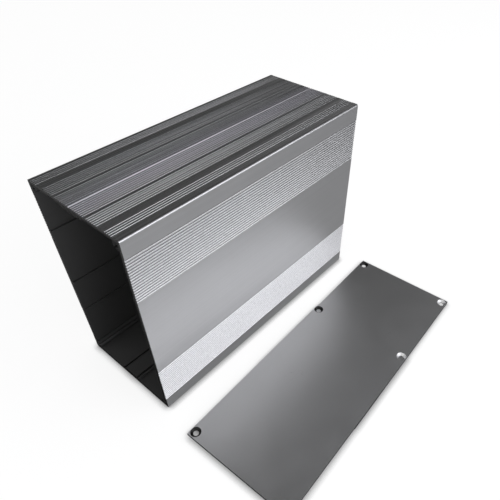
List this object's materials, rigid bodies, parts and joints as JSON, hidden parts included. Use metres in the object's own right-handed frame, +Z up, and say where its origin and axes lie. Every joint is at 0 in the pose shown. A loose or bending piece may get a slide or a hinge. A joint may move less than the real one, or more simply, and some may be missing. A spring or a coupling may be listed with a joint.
{
  "type": "aluminium project box",
  "caption": "Open extruded aluminium enclosure of two ribbed half shells, with its flat end panels off and lying in front of it.",
  "frame": {"origin": "centre of the left open end, on the axis of the extrusion, midway between the four screw channels", "axes": "+X along the extrusion from the left end to the right end, +Y from the front wall to the rear wall, +Z up, with the box standing on a narrow side"},
  "size_m": [0.2191, 0.1896, 0.145],
  "materials": {
    "shell_aluminium": "satin anodised, extruded, with sawn ends",
    "panel_aluminium": "satin anodised sheet"
  },
  "bodies": {
    "root": {"front_shell": "shell_aluminium", "rear_shell": "shell_aluminium", "end_panel_left": "panel_aluminium", "end_panel_right": "panel_aluminium"}
  },
  "joints": []
}
